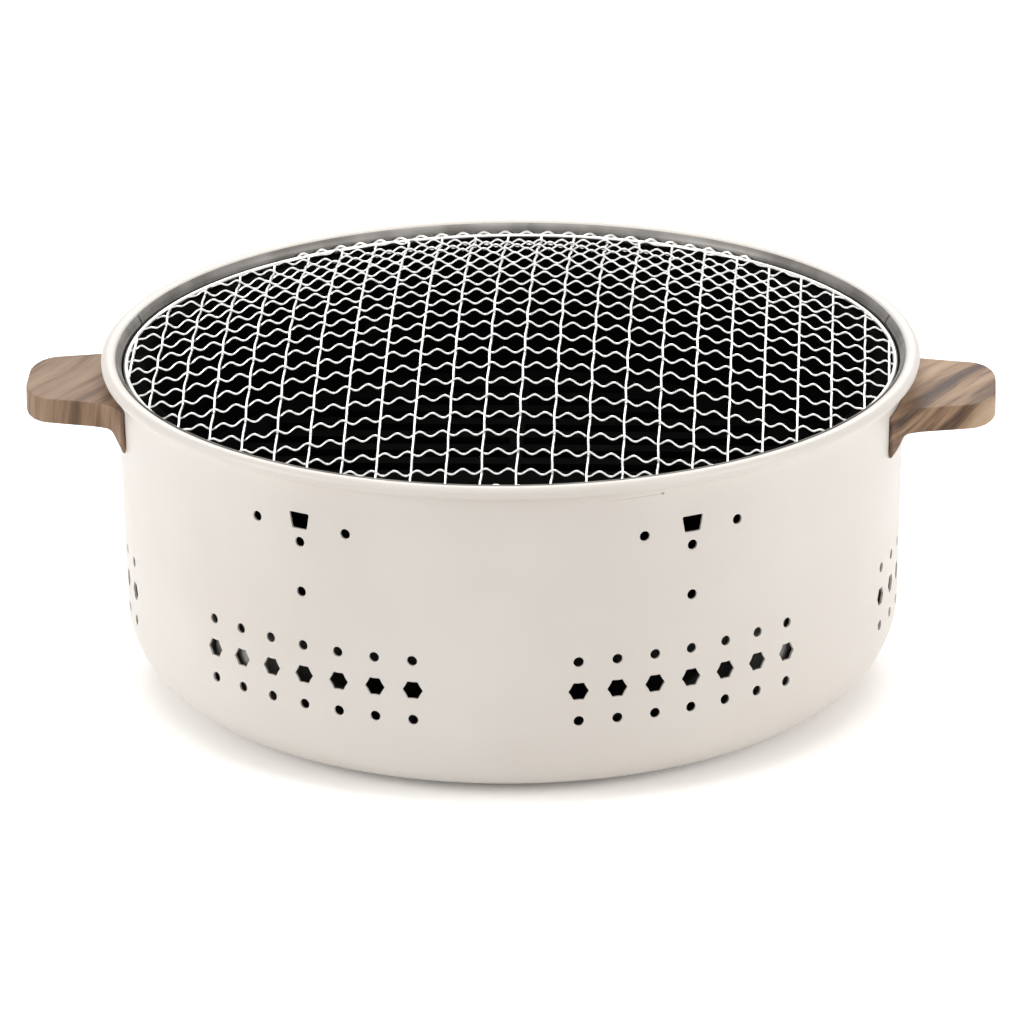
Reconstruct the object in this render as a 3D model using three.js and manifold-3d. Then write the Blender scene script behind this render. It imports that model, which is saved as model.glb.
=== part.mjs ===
// A round table-top charcoal brazier: a painted steel shell with punched air holes, a steel lined mouth,
// a lift-out pan for the embers with a grate in it, a domed cooking net and two wooden handles.
// Millimetres, +Z up, X through the handles, origin on the floor below the middle of the shell.
import * as THREE from "three";
import { mergeGeometries, mergeVertices } from "three/addons/utils/BufferGeometryUtils.js";
import Module from "manifold-3d";

const wasm = await Module();
wasm.setup();

// Driving dimensions
const GAP = 0.35; // between pieces that touch
const RIM_TOP = 150.5;
const FLOOR_CLEARANCE = 2; // height of the shell's underside over the floor
const SHELL_RADIUS = 171.3; // outer radius of the wall, carried up to the rim
const SHELL_TAPER = 0.024; // loss of radius for each millimetre further down
const SHEET = 1; // thickness of the shell
const BOTTOM_ROUND = 38; // radius of the rounded bottom edge
const RIM_RADIUS = 178; // across the flats of the facets
const RIM_BEAD = 2.8; // radius of the bead that the rim's edge is rolled into
const RIM_BEND = 4.4; // radius of the bend from the wall into the rim, on the inside
const AROUND = 60; // facets round the shell and what lies against it
const PAN_AROUND = 40;
const SMALL_AROUND = 8; // facets round feet, spacers and rivets

const HOLE_GROUP_TURNS = [29.1, 90, 150.9, 209.1, 270, 330.9]; // degrees from the front
const HOLE_COLUMNS = 7;
const COLUMN_STEP = 5.7; // degrees
const AIR_HOLE_RADIUS = 2.1;
const STAR_HOLE_RADIUS = 4.1;
const ROW_DEPTHS = [81.9, 95.3, 108.8]; // below the rim: round, six-pointed, round
const CREST_SLOT = { depth: 25.2, top: 9.2, bottom: 6.4, height: 6.7 };
const CREST_HOLES = [
  { depth: 34.8, turn: 0 },
  { depth: 27.6, turn: -7.4 },
  { depth: 27.6, turn: 7.4 },
];
const LOWER_HOLE_DEPTH = 57.4;
const HOLE_TOOL = { start: 158, length: 20 }; // from inside the wall to outside it
const FLOOR_TOOL = { start: -10, length: 30 }; // from under the floor to over the shield
const WEDGE = { reach: 400, low: -50, height: 300, step: 60 };

const LINER_SHEET = 0.5;
const LINER_HEIGHT = 12.5;
const LINER_LIP_TURN = 50; // degrees that the lip follows the rim's bend
const LINER_JOINTS = { right: 106.1, left: 255.9 }; // degrees from the front
const LINER_JOINT_GAP = 0.4; // degrees

const NET_RING_RADIUS = 167.1;
const NET_RING_WIRE = 2.6;
const NET_RING_DEPTH = 5.4; // middle of the ring's wire below the rim
const NET_WIRE = 1.4;
const NET_WEAVE = 0.56; // height of the left-right wires over the others
const NET_DOME = { radius: 155, rise: 22.1 }; // outside it the net lies flat on the ring
const NET_PITCH = 26.6;
const NET_HALF_COUNT = 6; // wires on each side of the middle, the middle falling in a gap
const NET_WIRE_STEPS = 6;

const PAN_SHEET = 1.2;
const PAN_FLANGE_RADIUS = 168.5;
const PAN_MOUTH_RADIUS = 159.5;
const PAN_MOUTH_BEVEL = 2; // from the wall into the flange
const PAN_BASE_RADIUS = 151;
const PAN_FLOOR = 65; // underside
const PAN_ROUND = 12;
const PAN_AIR_HOLES = 20;
const PAN_AIR_HOLE = { radius: 4.5, height: 79, start: 135, length: 30 };

const GRATE_RADIUS = 144;
const GRATE_TOP = 89;
const GRATE_THICKNESS = 4;
const GRATE_SLOT = { width: 9, pitch: 17, count: 15, rib: 6, margin: 12 };
const GRATE_FOOT = { radius: 5, circle: 118, count: 4 };

const BRACKET_WIDTH = 21;
const BRACKET_SHEET = 1.5;
const BRACKET_TURN = 46.5; // degrees from the front to the first one
const BRACKET_TAB_END = 110;
const BRACKET_TOP_TAB = 6;
const BRACKET_HEEL = 1; // from the flat tab's end to the middle of the rounding
const BRACKET_PLAY = 1.8; // between the strap and the shell's rounded bottom edge
const BRACKET_LEAN = 2.2; // how far the strap leans outwards on its way up

const FOOT = { circle: 120, radius: 8, bevel: 0.6, stem: 2.5, barb: 4.2, top: 9 };

const SHIELD = { radius: 104, thickness: 0.8, height: 12 };
const SHIELD_FIXINGS = { count: 3, circle: 70, rivet: 2, spacer: 4.5, head: 4, headHeight: 1.4, bevel: 0.8 };

const HANDLE_TOP_DEPTH = 14.9; // below the rim
const HANDLE_THICKNESS = 11.1;
const HANDLE_REACH = 210.9;
const HANDLE_SIDE = { root: 33.5, at: 175, slope: 0.22, filletEnd: 181 }; // half width, and its loss outwards
const HANDLE_CORNER = { outwards: 13, sideways: 21 };
const HANDLE_FLANGE = { turn: 15.2, thickness: 3.2, tipThickness: 1, depth: 33.7, fillet: 3 };
const HANDLE_SCREW = { turn: 6, depth: 20.5, shank: 2, hole: 2.5, tip: 3, end: 194, pilotEnd: 195 };
const HANDLE_SCREW_HEAD = { radius: 4, height: 2.2, bevel: 1 };
const HANDLE_PLATE = { turn: 9, height: 11, sheet: 1.5 };
const HANDLE_AROUND = 120;

const degrees = THREE.MathUtils.degToRad;

// Materials
function finish(color, roughness, metalness) {
  return new THREE.MeshStandardMaterial({ color, roughness, metalness });
}

const creamPaint = finish(0xe2dad1, 0.45, 0);
const brushedSteel = finish(0x8c8780, 0.38, 0.9);
const brightWire = finish(0xdedcd7, 0.25, 0.95);
const blackEnamel = finish(0x141312, 0.4, 0.1);
const castIron = finish(0x2a2826, 0.75, 0.5);
const walnut = finish(0x8a6a50, 0.6, 0);
const silicone = finish(0x26241f, 0.8, 0);

// Solids: three.js geometry in and out of manifold-3d
function solid(geometry) {
  const bare = geometry.index ? geometry.toNonIndexed() : geometry.clone();
  bare.deleteAttribute("normal");
  bare.deleteAttribute("uv");
  const merged = mergeVertices(bare, 1e-4);
  return new wasm.Manifold(
    new wasm.Mesh({
      numProp: 3,
      vertProperties: merged.attributes.position.array,
      triVerts: new Uint32Array(merged.index.array),
    }),
  );
}

function geometryOf(body) {
  const mesh = body.getMesh();
  return new THREE.BufferGeometry()
    .setAttribute("position", new THREE.BufferAttribute(mesh.vertProperties, 3))
    .setIndex(new THREE.BufferAttribute(mesh.triVerts, 1));
}

// A ring or bowl turned about Z; its outline runs anticlockwise seen with the radius to the right.
// The front falls in the middle of a facet, so that the air holes stay clear of the edges.
function turned(outline, facets = AROUND) {
  return new THREE.LatheGeometry(outline, facets, Math.PI / facets).rotateX(Math.PI / 2);
}

const closed = (outline) => [...outline, outline[0].clone()];
const point = (x, y) => new THREE.Vector2(x, y);

// Points of an arc, its angles in degrees.
function arc(x, y, radius, from, to, steps) {
  return Array.from({ length: steps + 1 }, (_, i) => {
    const angle = degrees(from + ((to - from) * i) / steps);
    return point(x + radius * Math.cos(angle), y + radius * Math.sin(angle));
  });
}

const prism = (outline, depth) =>
  new THREE.ExtrudeGeometry(new THREE.Shape(outline), { depth, bevelEnabled: false, steps: 1 });

// Stands a prism on the wall: its outline upright and square to the radius, its depth outwards.
// A turn is in degrees from the front, towards +X.
function onRadius(geometry, turn, radius, height) {
  const angle = degrees(turn);
  const outwards = new THREE.Vector3(Math.sin(angle), -Math.cos(angle), 0);
  const sideways = new THREE.Vector3(Math.cos(angle), Math.sin(angle), 0);
  const place = new THREE.Matrix4().makeBasis(sideways, new THREE.Vector3(0, 0, 1), outwards);
  place.setPosition(outwards.clone().multiplyScalar(radius).setZ(height));
  return geometry.applyMatrix4(place);
}

const polygon = (radius, sides, phase = 0) => arc(0, 0, radius, phase, phase + 360, sides).slice(0, -1);

const radialHole = (outline, turn, depth) =>
  onRadius(prism(outline, HOLE_TOOL.length), turn, HOLE_TOOL.start, RIM_TOP - depth);

const uprightHole = (radius, x, y) =>
  prism(polygon(radius, SMALL_AROUND), FLOOR_TOOL.length).translate(x, y, FLOOR_TOOL.start);

// A wedge of the full height, between two turns in degrees from the front.
function wedge(from, to) {
  const steps = Math.ceil((to - from) / WEDGE.step);
  const edge = Array.from({ length: steps + 1 }, (_, i) => {
    const angle = degrees(from + ((to - from) * i) / steps);
    return point(WEDGE.reach * Math.sin(angle), -WEDGE.reach * Math.cos(angle));
  });
  return solid(prism([point(0, 0), ...edge], WEDGE.height).translate(0, 0, WEDGE.low));
}

const wallRadius = (height) => SHELL_RADIUS - SHELL_TAPER * (RIM_TOP - height);
const wallInside = (height) => wallRadius(height) - SHEET;

const group = new THREE.Group();

function add(name, geometry, material, turn = 0) {
  const mesh = new THREE.Mesh(geometry, material);
  mesh.name = name;
  mesh.rotation.z = degrees(turn);
  group.add(mesh);
}

// Turns of the four brackets and feet, and of the three shield fixings
const bracketTurns = [0, 90, 180, 270].map((turn) => BRACKET_TURN + turn);
const fixingTurns = Array.from({ length: SHIELD_FIXINGS.count }, (_, i) => (360 / SHIELD_FIXINGS.count) * i);
const handleTurns = { right: 90, left: 270 };
const onCircle = (radius, turn) => [radius * Math.sin(degrees(turn)), -radius * Math.cos(degrees(turn))];

// Centre of the rounded bottom edge
const roundHeight = FLOOR_CLEARANCE + BOTTOM_ROUND;
const roundCentre = wallRadius(roundHeight) - BOTTOM_ROUND;

// Shell
function shellOutline() {
  const neck = RIM_TOP - RIM_BEND;
  const underRim = RIM_TOP - 2 * RIM_BEAD;
  const bendCentre = wallInside(neck) + RIM_BEND;
  const rim = RIM_RADIUS / Math.cos(Math.PI / AROUND);
  return [
    point(0, FLOOR_CLEARANCE),
    ...arc(roundCentre, roundHeight, BOTTOM_ROUND, -90, 0, 4),
    point(wallRadius(underRim), underRim),
    ...arc(rim - RIM_BEAD, underRim + RIM_BEAD, RIM_BEAD, -90, 90, 4),
    ...arc(bendCentre, neck, RIM_BEND, 90, 180, 2),
    ...arc(roundCentre, roundHeight, BOTTOM_ROUND - SHEET, 0, -90, 3),
    point(0, FLOOR_CLEARANCE + SHEET),
  ];
}

function wallHoles() {
  const round = () => polygon(AIR_HOLE_RADIUS, 5, 90);
  const slot = () => [
    point(-CREST_SLOT.bottom / 2, -CREST_SLOT.height / 2),
    point(CREST_SLOT.bottom / 2, -CREST_SLOT.height / 2),
    point(CREST_SLOT.top / 2, CREST_SLOT.height / 2),
    point(-CREST_SLOT.top / 2, CREST_SLOT.height / 2),
  ];
  const holes = [];
  for (const middle of HOLE_GROUP_TURNS) {
    for (let column = 0; column < HOLE_COLUMNS; column++) {
      const turn = middle + COLUMN_STEP * (column - (HOLE_COLUMNS - 1) / 2);
      holes.push(radialHole(round(), turn, ROW_DEPTHS[0]));
      holes.push(radialHole(polygon(STAR_HOLE_RADIUS, 6), turn, ROW_DEPTHS[1]));
      holes.push(radialHole(round(), turn, ROW_DEPTHS[2]));
    }
    holes.push(radialHole(round(), middle, LOWER_HOLE_DEPTH));
    if (Object.values(handleTurns).includes(middle)) continue; // a handle covers the crest's place
    holes.push(radialHole(slot(), middle, CREST_SLOT.depth));
    for (const { depth, turn } of CREST_HOLES) holes.push(radialHole(round(), middle + turn, depth));
  }
  return holes;
}

const screwTurns = (side) => [-HANDLE_SCREW.turn, HANDLE_SCREW.turn].map((turn) => handleTurns[side] + turn);

function screwHoles(side) {
  const depth = HANDLE_SCREW.depth;
  return screwTurns(side).map((turn) => radialHole(polygon(HANDLE_SCREW.hole, SMALL_AROUND), turn, depth));
}

const floorHole = (radius, circle) => (turn) => uprightHole(radius, ...onCircle(circle, turn));
const footHoles = () => bracketTurns.map(floorHole(FOOT.stem + GAP, FOOT.circle));
const fixingHoles = () => fixingTurns.map(floorHole(SHIELD_FIXINGS.rivet + GAP, SHIELD_FIXINGS.circle));

function outerShell() {
  const holes = [
    ...wallHoles(),
    ...screwHoles("left"),
    ...screwHoles("right"),
    ...footHoles(),
    ...fixingHoles(),
  ];
  return geometryOf(solid(turned(shellOutline())).subtract(solid(mergeGeometries(holes))));
}

// Mouth liner: two half rings whose lip follows the bend into the rim
function linerRing() {
  const neck = RIM_TOP - RIM_BEND;
  const foot = RIM_TOP - LINER_HEIGHT;
  const bendCentre = wallInside(neck) + RIM_BEND;
  const outer = RIM_BEND + GAP;
  const inner = outer + LINER_SHEET;
  const lip = 180 - LINER_LIP_TURN;
  const outline = [
    point(wallInside(foot) - GAP - LINER_SHEET, foot),
    point(wallInside(foot) - GAP, foot),
    ...arc(bendCentre, neck, outer, 180, lip, 2),
    ...arc(bendCentre, neck, inner, lip, 180, 2),
  ];
  return solid(turned(closed(outline)));
}

function liners() {
  const ring = linerRing();
  const half = LINER_JOINT_GAP / 2;
  const { right, left } = LINER_JOINTS;
  const front = ring.intersect(wedge(left - 360 + half, right - half));
  const rear = ring.intersect(wedge(right + half, left - half));
  add("liner_front", geometryOf(front), brushedSteel);
  add("liner_rear", geometryOf(rear), brushedSteel);
}

// Cooking net: wires both ways on a shallow dome, its ends over a ring of thicker wire
const netRingHeight = RIM_TOP - NET_RING_DEPTH;
const netEdgeHeight = netRingHeight + NET_RING_WIRE / 2 + GAP + NET_WIRE / 2;
const domeRadius = (NET_DOME.radius ** 2 + NET_DOME.rise ** 2) / (2 * NET_DOME.rise);
const domeTop = netEdgeHeight + NET_DOME.rise;
const domeHeight = (r) => domeTop - domeRadius + Math.sqrt(domeRadius ** 2 - r * r);

function netWire(offset) {
  const chord = (radius) => Math.sqrt(radius ** 2 - offset ** 2);
  const reach = chord(NET_RING_RADIUS + NET_RING_WIRE / 2);
  const domed = Array.from({ length: NET_WIRE_STEPS + 1 }, (_, i) => {
    const along = chord(NET_DOME.radius) * ((2 * i) / NET_WIRE_STEPS - 1);
    return point(along, domeHeight(Math.hypot(along, offset)));
  });
  const middle = [point(-reach, netEdgeHeight), ...domed, point(reach, netEdgeHeight)];
  const lifted = (by) => middle.map((p) => point(p.x, p.y + by));
  const outline = [...lifted(-NET_WIRE / 2), ...lifted(NET_WIRE / 2).reverse()];
  return prism(outline, NET_WIRE)
    .translate(0, 0, -NET_WIRE / 2)
    .rotateX(Math.PI / 2)
    .translate(0, offset, 0);
}

function netMesh() {
  let mesh = null;
  for (let i = -NET_HALF_COUNT; i < NET_HALF_COUNT; i++) {
    const offset = NET_PITCH * (i + 0.5);
    const across = solid(netWire(offset).translate(0, 0, NET_WEAVE));
    const along = solid(netWire(offset).rotateZ(Math.PI / 2));
    mesh = mesh ? mesh.add(across).add(along) : across.add(along);
  }
  return geometryOf(mesh);
}

function netRing() {
  return new THREE.TorusGeometry(NET_RING_RADIUS, NET_RING_WIRE / 2, 6, 48).translate(0, 0, netRingHeight);
}

// Pan for the embers: its flange carries the net, holes low in its wall let air in
const panFlangeTop = netRingHeight - NET_RING_WIRE / 2 - GAP;

function panSolid() {
  const under = panFlangeTop - PAN_SHEET;
  const base = PAN_BASE_RADIUS - PAN_ROUND;
  const innerBevel = PAN_MOUTH_BEVEL - PAN_SHEET * (Math.SQRT2 - 1);
  const outline = [
    point(0, PAN_FLOOR),
    ...arc(base, PAN_FLOOR + PAN_ROUND, PAN_ROUND, -90, 0, 2),
    point(PAN_MOUTH_RADIUS, under - PAN_MOUTH_BEVEL),
    point(PAN_MOUTH_RADIUS + PAN_MOUTH_BEVEL, under),
    point(PAN_FLANGE_RADIUS, under),
    point(PAN_FLANGE_RADIUS, panFlangeTop),
    point(PAN_MOUTH_RADIUS + innerBevel, panFlangeTop),
    point(PAN_MOUTH_RADIUS - PAN_SHEET, under - innerBevel),
    ...arc(base, PAN_FLOOR + PAN_ROUND, PAN_ROUND - PAN_SHEET, 0, -90, 2),
    point(0, PAN_FLOOR + PAN_SHEET),
  ];
  return solid(turned(outline, PAN_AROUND));
}

function charcoalPan() {
  const holes = Array.from({ length: PAN_AIR_HOLES }, (_, i) => {
    const turn = (360 / PAN_AIR_HOLES) * i;
    const tool = prism(polygon(PAN_AIR_HOLE.radius, 6), PAN_AIR_HOLE.length);
    return onRadius(tool, turn, PAN_AIR_HOLE.start, PAN_AIR_HOLE.height);
  });
  return geometryOf(panSolid().subtract(solid(mergeGeometries(holes))));
}

// Grate in the pan: a cast plate with two columns of slots, on four short feet
function charcoalGrate() {
  const plate = prism(polygon(GRATE_RADIUS, 48), GRATE_THICKNESS);
  let grate = solid(plate.translate(0, 0, GRATE_TOP - GRATE_THICKNESS));
  const footLow = PAN_FLOOR + PAN_SHEET + GAP;
  for (let i = 0; i < GRATE_FOOT.count; i++) {
    const [x, y] = onCircle(GRATE_FOOT.circle, (360 / GRATE_FOOT.count) * i);
    const foot = prism(polygon(GRATE_FOOT.radius, SMALL_AROUND), GRATE_TOP - GRATE_THICKNESS / 2 - footLow);
    grate = grate.add(solid(foot.translate(x, y, footLow)));
  }
  const slots = [];
  for (let i = 0; i < GRATE_SLOT.count; i++) {
    const y = GRATE_SLOT.pitch * (i - (GRATE_SLOT.count - 1) / 2);
    const edge = Math.abs(y) + GRATE_SLOT.width / 2;
    const reach = Math.sqrt((GRATE_RADIUS - GRATE_SLOT.margin) ** 2 - edge ** 2);
    const length = reach - GRATE_SLOT.rib / 2;
    if (Math.abs(y) < GRATE_FOOT.radius) continue; // the middle bar carries two feet
    for (const side of [-1, 1]) {
      const x = side * (GRATE_SLOT.rib / 2 + length / 2);
      const box = new THREE.BoxGeometry(length, GRATE_SLOT.width, 3 * GRATE_THICKNESS);
      slots.push(box.translate(x, y, GRATE_TOP));
    }
  }
  return geometryOf(grate.subtract(solid(mergeGeometries(slots))));
}

// Bracket: a strap bent to the inside of the shell, from the pan's flange to the floor
function panBracket(turn) {
  const top = panFlangeTop - PAN_SHEET - GAP;
  const floor = FLOOR_CLEARANCE + SHEET + GAP;
  const outerRound = BOTTOM_ROUND - SHEET - BRACKET_PLAY;
  const innerRound = outerRound - BRACKET_SHEET;
  const upright = roundCentre + outerRound + BRACKET_LEAN;
  const outline = [
    point(BRACKET_TAB_END, floor),
    point(roundCentre - BRACKET_HEEL, floor),
    ...arc(roundCentre, roundHeight, outerRound, -60, 0, 2),
    point(upright, top),
    point(upright - BRACKET_TOP_TAB, top),
    point(upright - BRACKET_TOP_TAB, top - BRACKET_SHEET),
    point(upright - BRACKET_SHEET, top - BRACKET_SHEET),
    ...arc(roundCentre, roundHeight, innerRound, 0, -60, 2),
    point(roundCentre - BRACKET_HEEL, floor + BRACKET_SHEET),
    point(BRACKET_TAB_END, floor + BRACKET_SHEET),
  ];
  const strap = prism(outline, BRACKET_WIDTH).translate(0, 0, -BRACKET_WIDTH / 2).rotateX(Math.PI / 2);
  strap.rotateZ(degrees(turn - 90));
  const hole = uprightHole(FOOT.stem + GAP, ...onCircle(FOOT.circle, turn));
  return geometryOf(solid(strap).subtract(solid(hole)));
}

// Foot: a silicone pad whose barbed stem is pushed through the floor and the bracket
function foot(turn) {
  const barbFoot = FLOOR_CLEARANCE + SHEET + BRACKET_SHEET + 3 * GAP;
  const padTop = FLOOR_CLEARANCE - GAP;
  const outline = [
    point(0, 0),
    point(FOOT.radius - FOOT.bevel, 0),
    point(FOOT.radius, FOOT.bevel),
    point(FOOT.radius, padTop),
    point(FOOT.stem, padTop),
    point(FOOT.stem, barbFoot),
    point(FOOT.barb, barbFoot),
    point(FOOT.stem - FOOT.bevel, FOOT.top),
    point(0, FOOT.top),
  ];
  return turned(outline, SMALL_AROUND).translate(...onCircle(FOOT.circle, turn), 0);
}

// Heat shield: a disc held over the floor by three riveted spacers
function heatShield() {
  const disc = prism(polygon(SHIELD.radius, 48), SHIELD.thickness).translate(0, 0, SHIELD.height);
  return geometryOf(solid(disc).subtract(solid(mergeGeometries(fixingHoles()))));
}

function shieldSpacer(turn) {
  const low = FLOOR_CLEARANCE + SHEET + GAP;
  const high = SHIELD.height - GAP;
  const bore = SHIELD_FIXINGS.rivet + GAP;
  const outline = [
    point(bore, low),
    point(SHIELD_FIXINGS.spacer, low),
    point(SHIELD_FIXINGS.spacer, high),
    point(bore, high),
  ];
  return turned(closed(outline), SMALL_AROUND).translate(...onCircle(SHIELD_FIXINGS.circle, turn), 0);
}

function shieldRivet(turn) {
  const low = FLOOR_CLEARANCE - GAP;
  const high = SHIELD.height + SHIELD.thickness + GAP;
  const { rivet, head, headHeight, bevel } = SHIELD_FIXINGS;
  const outline = [
    point(0, low - headHeight),
    point(head - bevel, low - headHeight),
    point(head, low),
    point(rivet, low),
    point(rivet, high),
    point(head, high),
    point(head - bevel, high + headHeight),
    point(0, high + headHeight),
  ];
  return turned(outline, SMALL_AROUND).translate(...onCircle(SHIELD_FIXINGS.circle, turn), 0);
}

// Handle: a wooden slab that widens into a flange, which hugs the wall and thins out below it
function handlePlan() {
  const { turn, tipThickness } = HANDLE_FLANGE;
  const { root, at, slope, filletEnd } = HANDLE_SIDE;
  const halfWidth = (x) => root - slope * (x - at);
  const end = SHELL_RADIUS + GAP + tipThickness;
  const [sine, cosine] = [Math.sin(degrees(turn)), Math.cos(degrees(turn))];
  const wing = point(end * cosine, end * sine);
  const run = (wing.y - halfWidth(wing.x)) / (cosine - slope * sine); // along the wall to the slab's side
  const bend = point(wing.x + run * sine, wing.y - run * cosine);
  const fillet = new THREE.QuadraticBezierCurve(wing, bend, point(filletEnd, halfWidth(filletEnd)));
  const { outwards, sideways } = HANDLE_CORNER;
  const tip = HANDLE_REACH - outwards;
  const start = Math.atan2(sideways, slope * outwards); // where the corner meets the side without a kink
  const middle = halfWidth(tip + outwards * Math.cos(start)) - sideways * Math.sin(start);
  const corner = new THREE.EllipseCurve(tip, middle, outwards, sideways, start, 0, true).getPoints(6);
  const side = [point(0, wing.y), ...fillet.getPoints(4), ...corner];
  return [...side.map((p) => point(p.x, -p.y)), ...side.reverse()];
}

function handleProfile() {
  const { thickness, tipThickness, depth, fillet } = HANDLE_FLANGE;
  const top = RIM_TOP - HANDLE_TOP_DEPTH;
  const under = top - HANDLE_THICKNESS;
  const tip = RIM_TOP - depth;
  const clear = (height) => wallRadius(height) + GAP;
  const past = HANDLE_REACH + HANDLE_CORNER.outwards;
  const outline = [
    point(clear(tip), tip),
    point(clear(tip) + tipThickness, tip),
    ...arc(clear(under) + thickness + fillet, under - fillet, fillet, 165, 90, 4),
    point(past, under),
    point(past, top),
    point(clear(top), top),
  ];
  return solid(turned(closed(outline), HANDLE_AROUND));
}

function handle(side) {
  const low = RIM_TOP - HANDLE_FLANGE.depth;
  const plan = solid(prism(handlePlan(), RIM_TOP - low).translate(0, 0, low));
  const pilots = [-HANDLE_SCREW.turn, HANDLE_SCREW.turn].map((turn) => {
    const length = HANDLE_SCREW.pilotEnd - HOLE_TOOL.start;
    const pilot = prism(polygon(HANDLE_SCREW.shank + GAP, SMALL_AROUND), length);
    return onRadius(pilot, handleTurns.right + turn, HOLE_TOOL.start, RIM_TOP - HANDLE_SCREW.depth);
  });
  const wood = plan.intersect(handleProfile()).subtract(solid(mergeGeometries(pilots)));
  return geometryOf(wood).rotateZ(degrees(handleTurns[side] - handleTurns.right));
}

// Plate behind the wall that spreads the pull of a handle's screws
function handlePlate(side) {
  const middle = RIM_TOP - HANDLE_SCREW.depth;
  const low = middle - HANDLE_PLATE.height / 2;
  const outer = wallInside(low) - GAP;
  const outline = [
    point(outer - HANDLE_PLATE.sheet, low),
    point(outer, low),
    point(outer, low + HANDLE_PLATE.height),
    point(outer - HANDLE_PLATE.sheet, low + HANDLE_PLATE.height),
  ];
  const turn = handleTurns[side];
  const sector = wedge(turn - HANDLE_PLATE.turn, turn + HANDLE_PLATE.turn);
  const plate = solid(turned(closed(outline))).intersect(sector);
  return geometryOf(plate.subtract(solid(mergeGeometries(screwHoles(side)))));
}

function handleScrew(turn) {
  const { shank, tip, end } = HANDLE_SCREW;
  const { radius: head, height: headHeight, bevel } = HANDLE_SCREW_HEAD;
  const plateLow = RIM_TOP - HANDLE_SCREW.depth - HANDLE_PLATE.height / 2;
  const plateInside = wallInside(plateLow) - GAP - HANDLE_PLATE.sheet;
  const underHead = plateInside * Math.cos(Math.PI / AROUND) - GAP;
  const outline = [
    point(0, underHead - headHeight),
    point(head - bevel, underHead - headHeight),
    point(head, underHead - headHeight + bevel),
    point(head, underHead),
    point(shank, underHead),
    point(shank, end - tip),
    point(0, end),
  ];
  const screw = new THREE.LatheGeometry(outline, SMALL_AROUND).rotateX(Math.PI / 2);
  return onRadius(screw, turn, 0, RIM_TOP - HANDLE_SCREW.depth);
}

add("outer_shell", outerShell(), creamPaint);
liners();
add("charcoal_pan", charcoalPan(), blackEnamel);
add("charcoal_grate", charcoalGrate(), castIron);
add("net_ring", netRing(), brightWire);
add("net_mesh", netMesh(), brightWire);
bracketTurns.forEach((turn, i) => add("pan_bracket_" + (i + 1), panBracket(turn), brushedSteel));
bracketTurns.forEach((turn, i) => add("foot_" + (i + 1), foot(turn), silicone));
add("heat_shield", heatShield(), brushedSteel);
fixingTurns.forEach((turn, i) => add("shield_spacer_" + (i + 1), shieldSpacer(turn), brushedSteel));
fixingTurns.forEach((turn, i) => add("shield_rivet_" + (i + 1), shieldRivet(turn), brushedSteel));
for (const side of Object.keys(handleTurns)) {
  add("handle_" + side, handle(side), walnut);
  add("handle_plate_" + side, handlePlate(side), brushedSteel);
  screwTurns(side).forEach((turn, i) => {
    add("handle_screw_" + side + "_" + (i + 1), handleScrew(turn), brushedSteel);
  });
}

export default group;
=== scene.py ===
"""A round table-top charcoal brazier, dressed for its picture: painted shell with punched air holes, steel
mouth liner, domed crimped-wire net on a ring, enamelled ember pan with an iron grate, and walnut handles.

Sizes are in millimetres and become metres through MM. Turns are degrees from the front (-Y) towards +X.
"""

import math

import bmesh
import bpy
from mathutils import Matrix, Quaternion, Vector


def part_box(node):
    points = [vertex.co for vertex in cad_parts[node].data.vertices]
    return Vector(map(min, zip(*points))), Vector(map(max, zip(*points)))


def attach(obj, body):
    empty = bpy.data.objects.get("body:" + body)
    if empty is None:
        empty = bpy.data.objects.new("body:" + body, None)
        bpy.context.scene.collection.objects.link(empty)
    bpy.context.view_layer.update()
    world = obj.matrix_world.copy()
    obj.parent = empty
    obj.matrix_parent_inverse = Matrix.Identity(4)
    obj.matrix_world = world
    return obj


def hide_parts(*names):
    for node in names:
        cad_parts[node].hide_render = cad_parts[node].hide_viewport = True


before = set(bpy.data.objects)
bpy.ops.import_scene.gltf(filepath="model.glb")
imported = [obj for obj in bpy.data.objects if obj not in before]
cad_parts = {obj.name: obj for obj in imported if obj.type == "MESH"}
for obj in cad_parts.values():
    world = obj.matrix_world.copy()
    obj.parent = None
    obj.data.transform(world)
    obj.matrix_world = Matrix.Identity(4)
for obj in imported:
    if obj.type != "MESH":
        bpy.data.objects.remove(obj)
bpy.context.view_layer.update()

MM = 0.001
radians = math.radians


# ---------------------------------------------------------------- sizes


def reach(node):
    """Lowest and highest corner of a CAD node, in millimetres."""
    low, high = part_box(node)
    return low / MM, high / MM


shell_low, shell_high = reach("outer_shell")
RIM_TOP = shell_high.z
RIM_RADIUS = 178
SHELL_FLOOR = shell_low.z
SHELL_RADIUS = 171.3
SHELL_TAPER = 0.024
SHEET = 1
BOTTOM_ROUND = 38
BEAD_RADIUS = 2.8
BEAD_FILLET = 1
RIM_BEND = 4.4
WELD_MARK = {"turn": 24.4, "height": 141.1}
SHELL_AROUND = 360
GAP = 0.35

SIDE_TURN = 90
GROUP_STEP = 60.9
HOLE_COLUMNS = 7
COLUMN_STEP = 5.7
AIR_HOLE_RADIUS = 2.25
STAR_TIP_RADIUS = 4.5
STAR_WAIST_RADIUS = 3.75
ROW_DEPTHS = {"upper": 81.9, "star": 95.3, "lower": 108.8}
CREST_SLOT = {"depth": 25.2, "top": 9.9, "bottom": 7.2, "height": 7.3}
CREST_HOLE_DEPTH = 34.8
SIDE_HOLE_DEPTH = 27.6
SIDE_HOLE_TURN = 7.4
LOWER_HOLE_DEPTH = 57.4
PUNCH_DEPTH = 16

LINER_SHEET = 0.5
LINER_HEIGHT = 12.5
LINER_LIP_TURN = 50
LINER_JOINTS = {"right": 106.1, "left": 255.9}
LINER_JOINT_GAP = 0.5

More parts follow.
